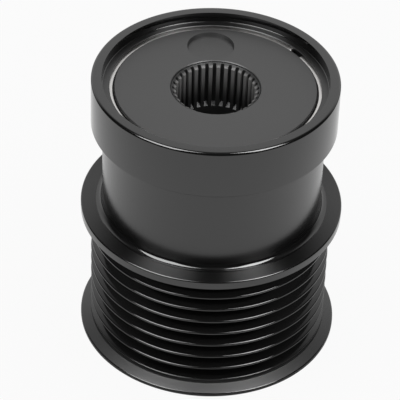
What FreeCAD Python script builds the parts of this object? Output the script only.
"""Freewheel pulley of an alternator for an eight-rib belt, as an assembly of separate pieces.

The rear face of the pulley stands on z = 0, the axis of rotation is Z and the open front faces up.
Heights are measured from the rear face. Every size is in millimetres and lives in the sheet "Sizes".
"""
import FreeCAD, Part
import os

import Sketcher

SIZES = {
    # Pulley sleeve, outside
    "overall_height": 68.9,
    "rear_flange_rim": 0.75,
    "front_flange_rim": 2.0,
    "flange_slope_height": 1.12,
    "flange_rise": 2.4,
    "flange_edge": 0.4,
    "rear_land": 0.93,
    "front_land": 0.22,
    "rib_pitch": 3.56,
    "groove_count": 8,
    "groove_angle": 40,
    "groove_floor": 0.8,
    "groove_round": 0.35,
    "crest_width": 0.5,
    "crest_round": 0.2,
    "root_wall": 3.7,
    "neck_fillet": 2.4,
    "collar_length": 12.5,
    "collar_step": 2.65,
    "collar_fillet": 1.0,
    "collar_chamfer": 0.8,
    "rim_wall": 2.4,
    "rim_round": 0.65,
    # Pulley sleeve, inside
    "recess_depth": 2.45,
    "recess_fillet": 0.5,
    "ledge_width": 1.7,
    "entry_step": 0.3,
    "entry_chamfer": 0.3,
    "bearing_shoulder": 3.3,
    "bore_chamfer": 0.5,
    # Snap ring that holds the front cover
    "snap_ring_lip": 0.7,
    "snap_ring_thickness": 1.2,
    "snap_ring_width": 1.55,
    "snap_ring_hold": 0.7,
    "snap_ring_gap": 3.2,
    "snap_ring_turn": 40.3,
    # Front cover
    "cover_thickness": 2.88,
    "cover_brim": 1.1,
    "cover_play": 0.15,
    "cover_overlap": 0.48,
    "cover_lip": 0.7,
    "cover_relief": 0.5,
    "cover_edge": 0.6,
    "cover_hole_edge": 0.15,
    "dimple_diameter": 10.8,
    "dimple_wall_run": 1.0,
    "dimple_depth": 0.8,
    "dimple_margin": 0.4,
    "dimple_turn": 95.5,
    # Hub sleeve
    "hub_recess": 0.5,
    "hub_wall": 2.75,
    "clutch_seat_step": 1.1,
    "waist_step": 0.7,
    "nose_wall": 0.85,
    "nose_height": 1.75,
    "socket_diameter": 19.5,
    "socket_depth": 10.0,
    "socket_mouth": 0.12,
    "socket_teeth": 33,
    "tooth_height": 0.85,
    "tooth_tip_width": 0.75,
    "tooth_root_width": 1.2,
    "tooth_foot": 0.2,
    "thread_diameter": 16.0,
    "thread_pitch": 1.5,
    "thread_length": 18.4,
    "pilot_clearance": 1.0,
    "pilot_depth": 6.0,
    "hub_chamfer": 0.5,
    # Bearings
    "front_bearing_section": 11.0,
    "front_cage_room": 0.27,
    "front_seal_land": 2.9,
    "front_ball_count": 14,
    "rear_bearing_depth": 4.0,
    "rear_cage_room": 0.77,
    "rear_seal_land": 1.8,
    "rear_ball_count": 13,
    "ball_diameter": 4.76,
    "raceway_depth": 0.95,
    "raceway_relief": 0.095,
    "seal_thickness": 0.9,
    "seal_bead": 0.9,
    "seal_dish": 0.2,
    "cage_web": 0.4,
    "cage_horn": 0.9,
    "cage_gap": 0.28,
    "ball_pocket_clearance": 0.1,
    "bearing_chamfer": 0.4,
    # Retaining ring behind the rear bearing
    "retaining_ring_thickness": 1.75,
    "retaining_ring_width": 2.6,
    "retaining_groove_depth": 1.1,
    "retaining_gap": 5.0,
    "lug_diameter": 5.0,
    "lug_hole_diameter": 2.5,
    # Roller clutch
    "clutch_ring_wall": 2.0,
    "clutch_end_room": 0.6,
    "cam_ring_margin": 1.0,
    "cam_wall": 1.8,
    "cam_gap": 0.23,
    "wedge_room": 0.1,
    "roller_count": 10,
    "roller_diameter": 3.5,
    "roller_length": 13.5,
    "clutch_cage_rim": 1.95,
    "clutch_cage_flange": 0.95,
    "spring_room": 2.8,
    "spring_thickness": 0.2,
    "spring_height": 9.0,
    "spring_depth": 1.6,
    # Fits
    "fit_gap": 0.05,
    "running_gap": 0.25,
    "lip_gap": 0.08,
    "rolling_gap": 0.03,
    # How far a cutting outline reaches past what it cuts
    "cut_margin": 1.0,
}
MINOR_DEPTH = 1.0825  # Difference of a metric thread's diameters, in pitches


def size(name):
    """Expression that reads one cell of the sheet."""
    return f"Sizes.{name}"


def half(name):
    """Expression of half a size of the sheet."""
    return f"(Sizes.{name} / 2)"


# Radii from the axis outwards: hub, clutch and belt track
SOCKET_TIP = f"({half('socket_diameter')} - Sizes.tooth_height)"
THREAD_MINOR = f"((Sizes.thread_diameter - {MINOR_DEPTH} * Sizes.thread_pitch) / 2)"
PILOT = "((Sizes.thread_diameter + Sizes.pilot_clearance) / 2)"
NOSE = f"({half('socket_diameter')} + Sizes.nose_wall)"
HUB_SEAT = f"({half('socket_diameter')} + Sizes.hub_wall)"
CLUTCH_SEAT = f"({HUB_SEAT} + Sizes.clutch_seat_step)"
HUB_WAIST = f"({CLUTCH_SEAT} + Sizes.waist_step)"
CAM_FLAT = f"({CLUTCH_SEAT} + Sizes.cam_wall)"
CAM_CORNER = f"({CAM_FLAT} / cos(180 / Sizes.roller_count))"
CLUTCH_TRACK = f"({CAM_FLAT} + Sizes.roller_diameter + Sizes.wedge_room)"
ROLLER_ORBIT = f"({CLUTCH_TRACK} - {half('roller_diameter')} - Sizes.rolling_gap)"
ROLLER_TURN = f"acos(({CAM_FLAT} + {half('roller_diameter')}) / {ROLLER_ORBIT})"
CAGE_OUTER = f"({CLUTCH_TRACK} - Sizes.cage_gap)"
CAGE_INNER = f"({CAM_CORNER} + Sizes.cam_gap)"
BORE = f"({CLUTCH_TRACK} + Sizes.clutch_ring_wall)"
GROOVE_MOUTH = "((Sizes.rib_pitch - Sizes.crest_width) / 2)"
GROOVE_DEPTH = f"(({GROOVE_MOUTH} - {half('groove_floor')}) / tan(Sizes.groove_angle / 2))"
GROOVE_ROOT = f"({BORE} + Sizes.root_wall)"
CREST = f"({GROOVE_ROOT} + {GROOVE_DEPTH})"
FLANGE = f"({CREST} + Sizes.flange_rise)"
# Radii from the hub outwards: front bearing, cover and collar
FRONT_BEARING = f"({HUB_SEAT} + Sizes.front_bearing_section)"
NECK_BORE = f"({FRONT_BEARING} - Sizes.bearing_shoulder)"
ENTRY = f"({FRONT_BEARING} + Sizes.entry_step)"
RECESS = f"({ENTRY} + Sizes.ledge_width)"
COLLAR = f"({RECESS} + Sizes.rim_wall)"
NECK = f"({COLLAR} - Sizes.collar_step)"
SNAP_RING_OUTER = f"({ENTRY} + Sizes.snap_ring_hold)"
SNAP_RING_INNER = f"({SNAP_RING_OUTER} - Sizes.snap_ring_width)"
COVER_CROWN = f"({SNAP_RING_INNER} - Sizes.cover_play)"
COVER_HOLE = f"({NOSE} - Sizes.cover_overlap)"
# Outside of the sleeve, from the rear face to the front
REAR_SLOPE_TOP = "(Sizes.rear_flange_rim + Sizes.flange_slope_height)"
TRACK_START = f"({REAR_SLOPE_TOP} + Sizes.rear_land)"
TRACK_END = f"({TRACK_START} + Sizes.groove_count * Sizes.rib_pitch)"
FRONT_SLOPE_FOOT = f"({TRACK_END} + Sizes.front_land)"
FRONT_SLOPE_TOP = f"({FRONT_SLOPE_FOOT} + Sizes.flange_slope_height)"
NECK_START = f"({FRONT_SLOPE_TOP} + Sizes.front_flange_rim)"
COLLAR_START = "(Sizes.overall_height - Sizes.collar_length)"
# Widths of the bearings, which leave room for the cage between the seals
BALL_ROOM = "(Sizes.ball_diameter / 2 + Sizes.cage_web + Sizes.seal_thickness + Sizes.fit_gap)"
BEARING_WIDTH = {end: f"(2 * ({BALL_ROOM} + Sizes.{end}_cage_room))" for end in ("front", "rear")}
# Inside of the sleeve, from the front face to the rear
LEDGE = "(Sizes.overall_height - Sizes.recess_depth)"
SNAP_GROOVE_TOP = f"({LEDGE} - Sizes.snap_ring_lip)"
SNAP_RING_SEAT = f"({SNAP_GROOVE_TOP} - Sizes.snap_ring_thickness - Sizes.fit_gap)"
COVER_SEAT = f"({SNAP_RING_SEAT} - Sizes.cover_brim)"
FRONT_SHOULDER = f"({COVER_SEAT} - {BEARING_WIDTH['front']})"
COVER_FACE = f"({COVER_SEAT} + Sizes.cover_thickness)"
HUB_FRONT = f"({COVER_FACE} - Sizes.cover_lip - Sizes.running_gap)"
# Rear bearing and clutch, from the rear face to the front
RETAINING_SEAT = "(Sizes.rear_bearing_depth - Sizes.retaining_ring_thickness)"
REAR_BEARING_FRONT = f"(Sizes.rear_bearing_depth + {BEARING_WIDTH['rear']})"
CAM_LENGTH = "(Sizes.roller_length + 2 * Sizes.clutch_cage_rim)"
CLUTCH_CAGE_LENGTH = f"({CAM_LENGTH} + Sizes.fit_gap + Sizes.clutch_cage_flange)"
CLUTCH_LENGTH = f"(Sizes.cam_ring_margin + {CLUTCH_CAGE_LENGTH} + Sizes.clutch_end_room)"
CLUTCH_SHOULDER = f"({REAR_BEARING_FRONT} + {CLUTCH_LENGTH})"
CAM_SEAT = f"({REAR_BEARING_FRONT} + Sizes.cam_ring_margin)"
CAM_TOP = f"({CAM_SEAT} + {CAM_LENGTH})"

TOLERANCE = 1e-4


def make_sheet(doc):
    """Sheet with one row for each driving dimension: its name and its value."""
    sheet = doc.addObject("Spreadsheet::Sheet", "Sizes")
    for row, (name, value) in enumerate(SIZES.items(), start=1):
        sheet.set(f"A{row}", name)
        sheet.set(f"B{row}", str(value))
        sheet.setAlias(f"B{row}", name)
    doc.recompute()
    return sheet


def number(owner, expression):
    """Value of an expression as a plain number."""
    value = owner.evalExpression(expression)
    return float(getattr(value, "Value", value))


def make_body(doc, label):
    """Empty body whose label names the piece."""
    body = doc.addObject("PartDesign::Body", label)
    body.Label = label
    return body


def place(body, height="0", turn="0"):
    """Put a finished piece at its height on the axis, turned about it."""
    body.setExpression("Placement.Base.z", height)
    body.setExpression("Placement.Rotation.Angle", turn)
    body.Placement.Rotation = FreeCAD.Rotation(FreeCAD.Vector(0, 0, 1), number(body, turn))


def origin_feature(body, role):
    """One of the body's own origin planes or axes."""
    return next(feature for feature in body.Origin.OriginFeatures if feature.Role == role)


def make_sketch(body, name, role="XZ_Plane", height=None):
    """Sketch on one of the body's origin planes, lifted off it by height."""
    sketch = body.newObject("Sketcher::SketchObject", name)
    sketch.AttachmentSupport = [(origin_feature(body, role), "")]
    sketch.MapMode = "FlatFace"
    if height is not None:
        sketch.setExpression("AttachmentOffset.Base.z", height)
    return sketch


def dimension(sketch, constraint, expression):
    """Add a dimension and bind it to its expression."""
    index = sketch.addConstraint(constraint)
    sketch.setExpression(f"Constraints[{index}]", expression)


def draw_outline(sketch, corners):
    """Closed outline through corners given as pairs of expressions.

    A side whose ends share an expression is held upright or level, and every other
    coordinate has one dimension, so the outline is fully constrained.
    """
    points = [FreeCAD.Vector(number(sketch, across), number(sketch, up), 0) for across, up in corners]
    count = len(corners)
    for index in range(count):
        sketch.addGeometry(Part.LineSegment(points[index], points[(index + 1) % count]))
    for index, (across, up) in enumerate(corners):
        after = (index + 1) % count
        sketch.addConstraint(Sketcher.Constraint("Coincident", index, 2, after, 1))
        next_across, next_up = corners[after]
        if across == next_across:
            sketch.addConstraint(Sketcher.Constraint("Vertical", index))
        else:
            offset = Sketcher.Constraint("DistanceX", -1, 1, after, 1, points[after].x)
            dimension(sketch, offset, next_across)
        if up == next_up:
            sketch.addConstraint(Sketcher.Constraint("Horizontal", index))
        else:
            offset = Sketcher.Constraint("DistanceY", -1, 1, after, 1, points[after].y)
            dimension(sketch, offset, next_up)


def draw_circle(sketch, across, up, radius):
    """Circle with its centre and radius given as expressions."""
    centre = FreeCAD.Vector(number(sketch, across), number(sketch, up), 0)
    start_radius = number(sketch, radius)
    index = sketch.addGeometry(Part.Circle(centre, FreeCAD.Vector(0, 0, 1), start_radius))
    dimension(sketch, Sketcher.Constraint("DistanceX", -1, 1, index, 3, centre.x), across)
    dimension(sketch, Sketcher.Constraint("DistanceY", -1, 1, index, 3, centre.y), up)
    dimension(sketch, Sketcher.Constraint("Radius", index, start_radius), radius)


def turn_profile(body, sketch, name, kind="PartDesign::Revolution"):
    """Revolve a profile a full turn about the piece's axis."""
    feature = body.newObject(kind, name)
    feature.Profile = sketch
    feature.ReferenceAxis = (sketch, ["V_Axis"])
    feature.Angle = 360
    return feature


def turned_body(doc, label, corners):
    """Body turned from one outline of (radius, height) corners."""
    body = make_body(doc, label)
    sketch = make_sketch(body, "Outline")
    draw_outline(sketch, corners)
    turn_profile(body, sketch, "Turned")
    doc.recompute()
    return body


def extrude(body, sketch, name, length, kind="PartDesign::Pad", reverse=False):
    """Pad or pocket of a given length."""
    feature = body.newObject(kind, name)
    feature.Profile = sketch
    feature.setExpression("Length", length)
    feature.Reversed = reverse
    return feature


def repeat_around(body, originals, count, name):
    """Repeat features evenly about the piece's axis."""
    pattern = body.newObject("PartDesign::PolarPattern", name)
    pattern.Originals = originals
    pattern.Axis = (origin_feature(body, "Z_Axis"), [""])
    pattern.Angle = 360
    pattern.setExpression("Occurrences", count)
    body.Tip = pattern
    return pattern


def rims(body, places):
    """Names of the circular edges at (radius, height) places, which must all exist."""
    names = []
    for radius, height in places:
        wanted_radius, wanted_height = number(body, radius), number(body, height)
        found = [
            f"Edge{index}" for index, edge in enumerate(body.Tip.Shape.Edges, start=1)
            if isinstance(edge.Curve, Part.Circle)
            and abs(edge.Curve.Axis.z) > 0.5
            and abs(edge.Curve.Radius - wanted_radius) < TOLERANCE
            and abs(edge.Curve.Center.z - wanted_height) < TOLERANCE
        ]
        if not found:
            raise ValueError(f"{body.Label}: no edge at radius {wanted_radius}, height {wanted_height}")
        names += found
    return names


def dress_rims(body, kind, amount, places, name):
    """Fillet or chamfer the circular edges at the given places."""
    body.Document.recompute()
    base, names = body.Tip, rims(body, places)
    feature = body.newObject(f"PartDesign::{kind}", name)
    feature.Base = (base, names)
    feature.setExpression("Radius" if kind == "Fillet" else "Size", amount)
    body.Document.recompute()
    return feature


def make_pulley_sleeve(doc):
    """Sleeve with the belt track, both flanges, the neck, the collar and the stepped bore."""
    top = size("overall_height")
    snap_groove = f"{SNAP_RING_OUTER} + Sizes.fit_gap"
    retaining_groove = f"{BORE} + Sizes.retaining_groove_depth"
    retaining_foot = f"{RETAINING_SEAT} - Sizes.fit_gap"
    body = turned_body(doc, "pulley_sleeve", [
        (BORE, "0"),
        (FLANGE, "0"),
        (FLANGE, size("rear_flange_rim")),
        (CREST, REAR_SLOPE_TOP),
        (CREST, FRONT_SLOPE_FOOT),
        (FLANGE, FRONT_SLOPE_TOP),
        (FLANGE, NECK_START),
        (NECK, NECK_START),
        (NECK, COLLAR_START),
        (COLLAR, COLLAR_START),
        (COLLAR, top),
        (RECESS, top),
        (RECESS, LEDGE),
        (ENTRY, LEDGE),
        (ENTRY, SNAP_GROOVE_TOP),
        (snap_groove, SNAP_GROOVE_TOP),
        (snap_groove, SNAP_RING_SEAT),
        (ENTRY, SNAP_RING_SEAT),
        (ENTRY, COVER_SEAT),
        (FRONT_BEARING, COVER_SEAT),
        (FRONT_BEARING, FRONT_SHOULDER),
        (NECK_BORE, FRONT_SHOULDER),
        (NECK_BORE, CLUTCH_SHOULDER),
        (BORE, CLUTCH_SHOULDER),
        (BORE, size("rear_bearing_depth")),
        (retaining_groove, size("rear_bearing_depth")),
        (retaining_groove, retaining_foot),
        (BORE, retaining_foot),
    ])
    neck_fillet = f"min(Sizes.neck_fillet; {FLANGE} - {NECK} - Sizes.flange_edge)"
    dress_rims(body, "Fillet", neck_fillet, [(NECK, NECK_START)], "NeckFillet")
    dress_rims(body, "Fillet", size("collar_fillet"), [(NECK, COLLAR_START)], "CollarFillet")
    dress_rims(body, "Chamfer", size("collar_chamfer"), [(COLLAR, COLLAR_START)], "CollarChamfer")
    dress_rims(body, "Fillet", size("rim_round"), [(COLLAR, top)], "RimRound")
    dress_rims(body, "Fillet", size("recess_fillet"), [(RECESS, LEDGE)], "RecessFillet")
    dress_rims(body, "Chamfer", size("entry_chamfer"), [(ENTRY, LEDGE)], "EntryChamfer")
    flange_edges = [(FLANGE, NECK_START), (FLANGE, size("rear_flange_rim"))]
    dress_rims(body, "Fillet", size("flange_edge"), flange_edges, "FlangeEdges")
    dress_rims(body, "Chamfer", size("bore_chamfer"), [(BORE, "0")], "BoreChamfer")
    cut_belt_track(body)
    return body


def cut_belt_track(body):
    """Cut the V grooves of the belt track, side by side, and round their edges."""
    floor = half("groove_floor")
    middle = f"({TRACK_START} + {half('rib_pitch')})"
    sketch = make_sketch(body, "GrooveOutline")
    draw_outline(sketch, [
        (GROOVE_ROOT, f"{middle} - {floor}"),
        (CREST, f"{middle} - {GROOVE_MOUTH}"),
        (CREST, f"{middle} + {GROOVE_MOUTH}"),
        (GROOVE_ROOT, f"{middle} + {floor}"),
    ])
    groove = turn_profile(body, sketch, "BeltGroove", "PartDesign::Groove")
    pattern = body.newObject("PartDesign::LinearPattern", "BeltTrack")
    pattern.Originals = [groove]
    pattern.Direction = (origin_feature(body, "Z_Axis"), [""])
    pattern.setExpression("Length", "Sizes.rib_pitch * (Sizes.groove_count - 1)")
    pattern.setExpression("Occurrences", size("groove_count"))
    body.Tip = pattern
    body.Document.recompute()
    middles = [f"{middle} + {index} * Sizes.rib_pitch" for index in range(int(SIZES["groove_count"]))]
    roots = [(GROOVE_ROOT, f"{at} {sign} {floor}") for at in middles for sign in "-+"]
    crests = [(CREST, f"{at} {sign} {GROOVE_MOUTH}") for at in middles for sign in "-+"]
    dress_rims(body, "Fillet", size("groove_round"), roots, "GrooveRoots")
    dress_rims(body, "Fillet", size("crest_round"), crests, "RibCrests")


def make_front_cover(doc):
    """Cover plate with a brim under the snap ring and a shallow round dimple in its face."""
    brim = f"{ENTRY} - Sizes.fit_gap"
    relief = f"{FRONT_BEARING} - Sizes.front_seal_land + Sizes.running_gap"
    counterbore = f"{NOSE} + Sizes.running_gap + Sizes.lip_gap"
    face, lip = size("cover_thickness"), "Sizes.cover_thickness - Sizes.cover_lip"
    body = turned_body(doc, "front_cover", [
        (relief, "0"),
        (brim, "0"),
        (brim, size("cover_brim")),
        (COVER_CROWN, size("cover_brim")),
        (COVER_CROWN, face),
        (COVER_HOLE, face),
        (COVER_HOLE, lip),
        (counterbore, lip),
        (counterbore, size("cover_relief")),
        (relief, size("cover_relief")),
    ])
    dress_rims(body, "Chamfer", size("cover_edge"), [(COVER_CROWN, face)], "CrownEdge")
    dress_rims(body, "Chamfer", size("cover_hole_edge"), [(COVER_HOLE, face)], "HoleEdge")
    dimple = half("dimple_diameter")
    cone = body.newObject("PartDesign::SubtractiveCone", "Dimple")
    cone.setExpression("Radius1", f"{dimple} - Sizes.dimple_wall_run")
    cone.setExpression("Radius2", dimple)
    cone.setExpression("Height", size("dimple_depth"))
    cone.setExpression("Placement.Base.x", f"{COVER_HOLE} + Sizes.dimple_margin + {dimple}")
    cone.setExpression("Placement.Base.z", "Sizes.cover_thickness - Sizes.dimple_depth")
    place(body, COVER_SEAT, size("dimple_turn"))
    return body


def make_snap_ring(doc):
    """Open flat ring in the groove above the cover's brim."""
    thickness = size("snap_ring_thickness")
    body = turned_body(doc, "cover_snap_ring", [
        (SNAP_RING_INNER, "0"),
        (SNAP_RING_OUTER, "0"),
        (SNAP_RING_OUTER, thickness),
        (SNAP_RING_INNER, thickness),
    ])
    cut_gap(body, SNAP_RING_OUTER, size("snap_ring_gap"), thickness)
    place(body, SNAP_RING_SEAT, size("snap_ring_turn"))
    return body


def cut_gap(body, end, width, thickness):
    """Cut a slot of parallel sides through a ring, from its axis along its own +X."""
    sketch = make_sketch(body, "GapOutline", "XY_Plane")
    draw_outline(sketch, [
        ("0", f"-({width}) / 2"),
        (f"{end} + Sizes.cut_margin", f"-({width}) / 2"),
        (f"{end} + Sizes.cut_margin", f"{width} / 2"),
        ("0", f"{width} / 2"),
    ])
    extrude(body, sketch, "Gap", thickness, "PartDesign::Pocket", reverse=True)


def make_retaining_ring(doc):
    """Open ring with two eyes that holds the rear bearing in the sleeve."""
    outer = f"({BORE} + Sizes.retaining_groove_depth - Sizes.fit_gap)"
    inner = f"{outer} - Sizes.retaining_ring_width"
    thickness = size("retaining_ring_thickness")
    body = turned_body(doc, "rear_retaining_ring", [
        (inner, "0"),
        (outer, "0"),
        (outer, thickness),
        (inner, thickness),
    ])
    eye_up = "(Sizes.retaining_gap + Sizes.lug_diameter) / 2"
    eye_across = f"sqrt(pow({outer} - Sizes.lug_diameter / 2; 2) - pow({eye_up}; 2))"
    for side in "-+":
        sketch = make_sketch(body, f"Lug{side}", "XY_Plane")
        draw_circle(sketch, eye_across, f"0 {side} {eye_up}", half("lug_diameter"))
        extrude(body, sketch, "Lug", thickness)
    cut_gap(body, outer, size("retaining_gap"), thickness)
    for side in "-+":
        sketch = make_sketch(body, f"Eye{side}", "XY_Plane")
        draw_circle(sketch, eye_across, f"0 {side} {eye_up}", half("lug_hole_diameter"))
        extrude(body, sketch, "Eye", thickness, "PartDesign::Pocket", reverse=True)
    place(body, RETAINING_SEAT, "-90")
    return body


def make_bearing(doc, end, height):
    """Sealed ball bearing at one end: two rings, two seals, a cage and its balls."""
    outside, width = {"front": FRONT_BEARING, "rear": BORE}[end], BEARING_WIDTH[end]
    pitch = f"(({HUB_SEAT} + {outside}) / 2)"
    seal_seat = f"({outside} - Sizes.{end}_seal_land)"
    ball = half("ball_diameter")
    middle = f"{width} / 2"
    outer_land = f"({pitch} + {ball} - Sizes.raceway_depth)"
    inner_land = f"({pitch} - {ball} + Sizes.raceway_depth)"
    raceway = f"{ball} + Sizes.raceway_relief"
    shift = "(Sizes.raceway_relief - Sizes.rolling_gap)"
    seal_step = f"{width} - Sizes.seal_thickness - Sizes.fit_gap"
    seal_recess = "Sizes.seal_thickness + Sizes.fit_gap"

    outer_ring = turned_body(doc, f"{end}_bearing_outer_ring", [
        (seal_seat, "0"),
        (outside, "0"),
        (outside, width),
        (seal_seat, width),
        (seal_seat, seal_step),
        (outer_land, seal_step),
        (outer_land, seal_recess),
        (seal_seat, seal_recess),
    ])
    corners = [(outside, "0"), (outside, width)]
    dress_rims(outer_ring, "Chamfer", size("bearing_chamfer"), corners, "Corners")
    cut_raceway(outer_ring, f"{pitch} - {shift}", middle, raceway)

    inner_ring = turned_body(doc, f"{end}_bearing_inner_ring", [
        (HUB_SEAT, "0"),
        (inner_land, "0"),
        (inner_land, width),
        (HUB_SEAT, width),
    ])
    corners = [(HUB_SEAT, "0"), (HUB_SEAT, width)]
    dress_rims(inner_ring, "Chamfer", size("bearing_chamfer"), corners, "Corners")
    cut_raceway(inner_ring, f"{pitch} + {shift}", middle, raceway)

    pieces = [outer_ring, inner_ring]
    lip = f"{inner_land} + Sizes.lip_gap"
    lip_root = f"{inner_land} + Sizes.raceway_depth"
    bead = f"{seal_seat} - Sizes.seal_bead"
    for side, foot in (("rear", "0"), ("front", seal_step)):
        face, dish, back = "0", size("seal_dish"), size("seal_thickness")
        if side == "front":
            face, dish, back = back, "Sizes.seal_thickness - Sizes.seal_dish", "0"
        seal = turned_body(doc, f"{end}_bearing_{side}_seal", [
            (lip, half("seal_thickness")),
            (lip_root, dish),
            (bead, dish),
            (bead, face),
            (seal_seat, face),
            (seal_seat, back),
            (lip, back),
        ])
        seal.setExpression("Placement.Base.z", f"{height} + {foot}")
        pieces.append(seal)

    cage_outer, cage_inner = f"{outer_land} - Sizes.cage_gap", f"{inner_land} + Sizes.cage_gap"
    cage_foot = f"{middle} - {ball} - Sizes.cage_web"
    cage_top = f"{middle} + Sizes.cage_horn"
    cage = turned_body(doc, f"{end}_bearing_cage", [
        (cage_inner, cage_foot),
        (cage_outer, cage_foot),
        (cage_outer, cage_top),
        (cage_inner, cage_top),
    ])
    pocket = cage.newObject("PartDesign::SubtractiveSphere", "BallPocket")
    pocket.setExpression("Radius", f"{ball} + Sizes.ball_pocket_clearance")
    pocket.setExpression("Placement.Base.x", pitch)
    pocket.setExpression("Placement.Base.z", middle)
    repeat_around(cage, [pocket], size(f"{end}_ball_count"), "BallPockets")

    balls = make_body(doc, f"{end}_bearing_balls")
    first = balls.newObject("PartDesign::AdditiveSphere", "Ball")
    first.setExpression("Radius", ball)
    first.setExpression("Placement.Base.x", pitch)
    first.setExpression("Placement.Base.z", middle)
    repeat_around(balls, [first], size(f"{end}_ball_count"), "Balls")

    for piece in (outer_ring, inner_ring, cage, balls):
        place(piece, height)
    return pieces + [cage, balls]


def cut_raceway(ring, across, up, radius):
    """Cut the round groove that the balls run in."""
    sketch = make_sketch(ring, "RacewayOutline")
    draw_circle(sketch, across, up, radius)
    turn_profile(ring, sketch, "Raceway", "PartDesign::Groove")


def make_hub(doc):
    """Hub sleeve with bearing seats, a toothed tool socket and a bore for the threaded shaft."""
    root, foot = half("socket_diameter"), size("hub_recess")
    nose_foot = f"{HUB_FRONT} - Sizes.nose_height"
    mouth = f"{HUB_FRONT} - Sizes.socket_mouth"
    socket_end = f"{HUB_FRONT} - Sizes.socket_depth"
    runout_end = f"{socket_end} - Sizes.tooth_height"
    pilot_end = f"{foot} + Sizes.pilot_depth"
    thread_end = f"{pilot_end} + Sizes.thread_length"
    body = turned_body(doc, "hub_sleeve", [
        (PILOT, foot),
        (HUB_SEAT, foot),
        (HUB_SEAT, REAR_BEARING_FRONT),
        (CLUTCH_SEAT, REAR_BEARING_FRONT),
        (CLUTCH_SEAT, CAM_TOP),
        (HUB_WAIST, CAM_TOP),
        (HUB_WAIST, FRONT_SHOULDER),
        (HUB_SEAT, FRONT_SHOULDER),
        (HUB_SEAT, nose_foot),
        (NOSE, nose_foot),
        (NOSE, HUB_FRONT),
        (f"{root} + Sizes.socket_mouth", HUB_FRONT),
        (root, mouth),
        (root, socket_end),
        (SOCKET_TIP, runout_end),
        (SOCKET_TIP, f"{thread_end} + {SOCKET_TIP} - {THREAD_MINOR}"),
        (THREAD_MINOR, thread_end),
        (THREAD_MINOR, pilot_end),
        (PILOT, pilot_end),
    ])
    rear_edges = [(HUB_SEAT, foot), (PILOT, foot)]
    dress_rims(body, "Chamfer", size("hub_chamfer"), rear_edges, "RearEdges")
    add_socket_teeth(body, mouth, runout_end)
    return body


def add_socket_teeth(body, top, bottom):
    """Teeth of the tool socket, which stand inwards from its wall."""
    tip_side, root_side = half("tooth_tip_width"), half("tooth_root_width")
    buried = f"{half('socket_diameter')} + Sizes.tooth_foot"
    sketch = make_sketch(body, "ToothOutline", "XY_Plane", bottom)
    tip_across = f"sqrt(pow({SOCKET_TIP}; 2) - pow({tip_side}; 2))"
    draw_outline(sketch, [
        (tip_across, f"-({tip_side})"),
        (buried, f"-({root_side})"),
        (buried, root_side),
        (tip_across, tip_side),
    ])
    tooth = extrude(body, sketch, "Tooth", f"{top} - ({bottom})")
    repeat_around(body, [tooth], size("socket_teeth"), "Teeth")


def make_clutch(doc):
    """Roller clutch: outer ring, cam ring, rollers, their springs and the cage."""
    outer_ring = turned_body(doc, "clutch_outer_ring", [
        (CLUTCH_TRACK, "0"),
        (BORE, "0"),
        (BORE, CLUTCH_LENGTH),
        (CLUTCH_TRACK, CLUTCH_LENGTH),
    ])
    corners = [(BORE, "0"), (BORE, CLUTCH_LENGTH)]
    dress_rims(outer_ring, "Chamfer", size("bearing_chamfer"), corners, "Corners")
    place(outer_ring, REAR_BEARING_FRONT)
    return [outer_ring, make_cam_ring(doc), make_clutch_cage(doc), make_rollers(doc), make_springs(doc)]


def make_cam_ring(doc):
    """Ring on the hub whose flats wedge the rollers outwards."""
    body = turned_body(doc, "clutch_cam_ring", [
        (CLUTCH_SEAT, "0"),
        (CAM_CORNER, "0"),
        (CAM_CORNER, CAM_LENGTH),
        (CLUTCH_SEAT, CAM_LENGTH),
    ])
    sketch = make_sketch(body, "FlatOutline", "XY_Plane")
    reach = f"({CAM_CORNER} + Sizes.cut_margin)"
    draw_outline(sketch, [
        (CAM_FLAT, f"-{reach}"),
        (reach, f"-{reach}"),
        (reach, reach),
        (CAM_FLAT, reach),
    ])
    cut = extrude(body, sketch, "Flat", CAM_LENGTH, "PartDesign::Pocket", reverse=True)
    repeat_around(body, [cut], size("roller_count"), "Flats")
    place(body, CAM_SEAT)
    return body


def make_clutch_cage(doc):
    """Cage with one window for each roller and its spring, and a flange over the cam ring."""
    flange_inner = f"{HUB_WAIST} + Sizes.running_gap"
    flange_foot = f"{CLUTCH_CAGE_LENGTH} - Sizes.clutch_cage_flange"
    body = turned_body(doc, "clutch_cage", [
        (CAGE_INNER, "0"),
        (CAGE_OUTER, "0"),
        (CAGE_OUTER, CLUTCH_CAGE_LENGTH),
        (flange_inner, CLUTCH_CAGE_LENGTH),
        (flange_inner, flange_foot),
        (CAGE_INNER, flange_foot),
    ])
    sketch = make_sketch(body, "WindowOutline", "YZ_Plane")
    centre = f"{CAM_LENGTH} / 2"
    reach = f"({half('roller_length')} + Sizes.ball_pocket_clearance)"
    right = f"({half('roller_diameter')} + Sizes.ball_pocket_clearance)"
    left = f"(-{half('roller_diameter')} - Sizes.spring_room)"
    draw_outline(sketch, [
        (left, f"{centre} - {reach}"),
        (right, f"{centre} - {reach}"),
        (right, f"{centre} + {reach}"),
        (left, f"{centre} + {reach}"),
    ])
    depth = f"{CAGE_OUTER} + Sizes.cut_margin"
    window = extrude(body, sketch, "Window", depth, "PartDesign::Pocket", reverse=True)
    repeat_around(body, [window], size("roller_count"), "Windows")
    place(body, CAM_SEAT, ROLLER_TURN)
    return body


def make_rollers(doc):
    """Rollers between the cam flats and the outer ring."""
    body = make_body(doc, "clutch_rollers")
    roller = body.newObject("PartDesign::AdditiveCylinder", "Roller")
    roller.setExpression("Radius", half("roller_diameter"))
    roller.setExpression("Height", size("roller_length"))
    roller.setExpression("Placement.Base.x", ROLLER_ORBIT)
    roller.setExpression("Placement.Base.z", f"({CAM_LENGTH} - Sizes.roller_length) / 2")
    repeat_around(body, [roller], size("roller_count"), "Rollers")
    place(body, CAM_SEAT, ROLLER_TURN)
    return body


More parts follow.
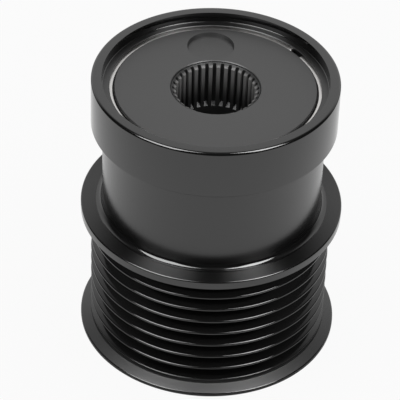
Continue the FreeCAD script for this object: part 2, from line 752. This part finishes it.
def make_springs(doc):
    """Folded leaf springs that press the rollers into the wedge."""
    body = make_body(doc, "clutch_springs")
    foot = f"({CAM_LENGTH} - Sizes.spring_height) / 2"
    sketch = make_sketch(body, "LeafOutline", "XY_Plane", foot)
    inner = f"({ROLLER_ORBIT} - {half('spring_depth')})"
    outer = f"({ROLLER_ORBIT} + {half('spring_depth')})"
    roller_side = f"({half('roller_diameter')} + Sizes.fit_gap)"
    wall_side = f"({roller_side} + Sizes.spring_room - 2 * Sizes.fit_gap)"
    fold = f"({roller_side} + {wall_side}) / 2"
    leg = f"sqrt(pow({half('spring_room')}; 2) + pow(Sizes.spring_depth; 2))"
    foot_width = f"Sizes.spring_thickness * {leg} / Sizes.spring_depth"
    fold_width = f"Sizes.spring_thickness * {leg} / {half('spring_room')}"
    draw_outline(sketch, [
        (inner, f"-({wall_side})"),
        (outer, f"-({fold})"),
        (inner, f"-({roller_side})"),
        (inner, f"-({roller_side} + {foot_width})"),
        (f"{outer} - {fold_width}", f"-({fold})"),
        (inner, f"-({wall_side} - {foot_width})"),
    ])
    leaf_pad = extrude(body, sketch, "Leaf", size("spring_height"))
    repeat_around(body, [leaf_pad], size("roller_count"), "Leaves")
    place(body, CAM_SEAT, ROLLER_TURN)
    return body


def check_document(doc, bodies):
    """Stop if any object failed or any piece isn't a valid solid."""
    for item in doc.Objects:
        if "Invalid" in item.State or "Error" in item.State:
            raise ValueError(f"{item.Label} ({item.Name}) failed: {item.State}")
    for body in bodies:
        shape = body.Shape
        if shape.isNull() or not shape.isValid() or not shape.Solids:
            raise ValueError(f"{body.Label} isn't a valid solid")


def main():
    """Build every piece, check it and write it to its file."""
    doc = FreeCAD.newDocument("alternator_pulley")
    make_sheet(doc)
    bodies = [make_pulley_sleeve(doc), make_front_cover(doc), make_snap_ring(doc)]
    bodies += make_bearing(doc, "front", FRONT_SHOULDER)
    bodies += make_bearing(doc, "rear", size("rear_bearing_depth"))
    bodies += make_clutch(doc)
    bodies += [make_retaining_ring(doc), make_hub(doc)]
    doc.recompute()
    check_document(doc, bodies)
    os.makedirs("parts", exist_ok=True)
    for body in bodies:
        body.Shape.exportStep(f"parts/{body.Label}.step")
        print(f"{body.Label}: {len(body.Shape.Solids)} solid(s), {body.Shape.Volume:.1f} mm3")


main()
